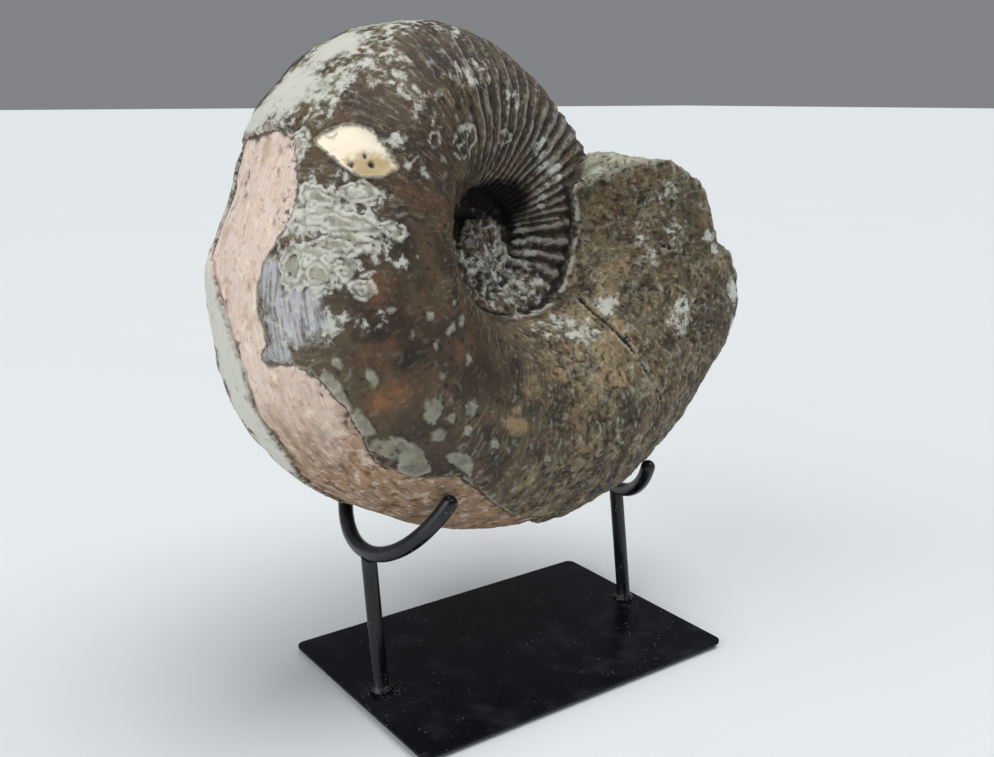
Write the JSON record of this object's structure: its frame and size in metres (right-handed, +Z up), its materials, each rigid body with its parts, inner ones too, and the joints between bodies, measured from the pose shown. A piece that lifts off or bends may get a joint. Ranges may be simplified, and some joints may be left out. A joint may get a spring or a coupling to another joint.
{
  "type": "ammonite fossil on stand",
  "caption": "Large inflated ammonite fossil with an open umbilicus and a broken mouth, standing on edge in the round-bar cradles of a black steel display stand.",
  "frame": {"origin": "middle of the base plate's flat underside", "axes": "+Z up, +X along the plate's long side from the front post to the rear post, the fossil's display side faces -Y"},
  "size_m": [0.4519, 0.2896, 0.5116],
  "materials": {
    "fossil_stone": "weathered, mottled brown and grey, matt with a dull sheen",
    "black_paint": "satin",
    "black_rubber": "matt"
  },
  "bodies": {
    "root": {"ammonite": "fossil_stone", "base_plate": "black_paint", "front_post": "black_paint", "rear_post": "black_paint", "front_cradle": "black_paint", "rear_cradle": "black_paint", "foot_front_near": "black_rubber", "foot_front_far": "black_rubber", "foot_rear_near": "black_rubber", "foot_rear_far": "black_rubber"}
  },
  "joints": []
}
